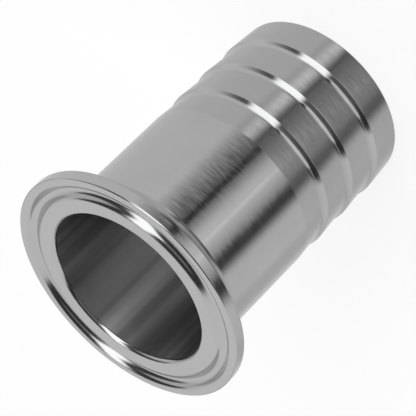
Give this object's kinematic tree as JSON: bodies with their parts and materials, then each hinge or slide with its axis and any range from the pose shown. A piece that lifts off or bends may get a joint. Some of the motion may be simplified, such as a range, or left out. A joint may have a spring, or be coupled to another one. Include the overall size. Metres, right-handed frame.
{
  "type": "sanitary clamp hose barb",
  "caption": "Sanitary clamp flange with a gasket groove on a short tube, whose tail has shallow barbs for a hose and a straight through bore.",
  "frame": {"origin": "centre of the hose end, on the surface that the part stands on", "axes": "+Z along the bore, from the hose end to the clamp face; X and Y are any pair across it, because the part is round"},
  "size_m": [0.0506, 0.0506, 0.0605],
  "materials": {
    "stainless_steel": "fine turned, brushed around the tube, smoother on the clamp face and in the groove"
  },
  "bodies": {
    "root": {"hose_barb": "stainless_steel"}
  },
  "joints": []
}
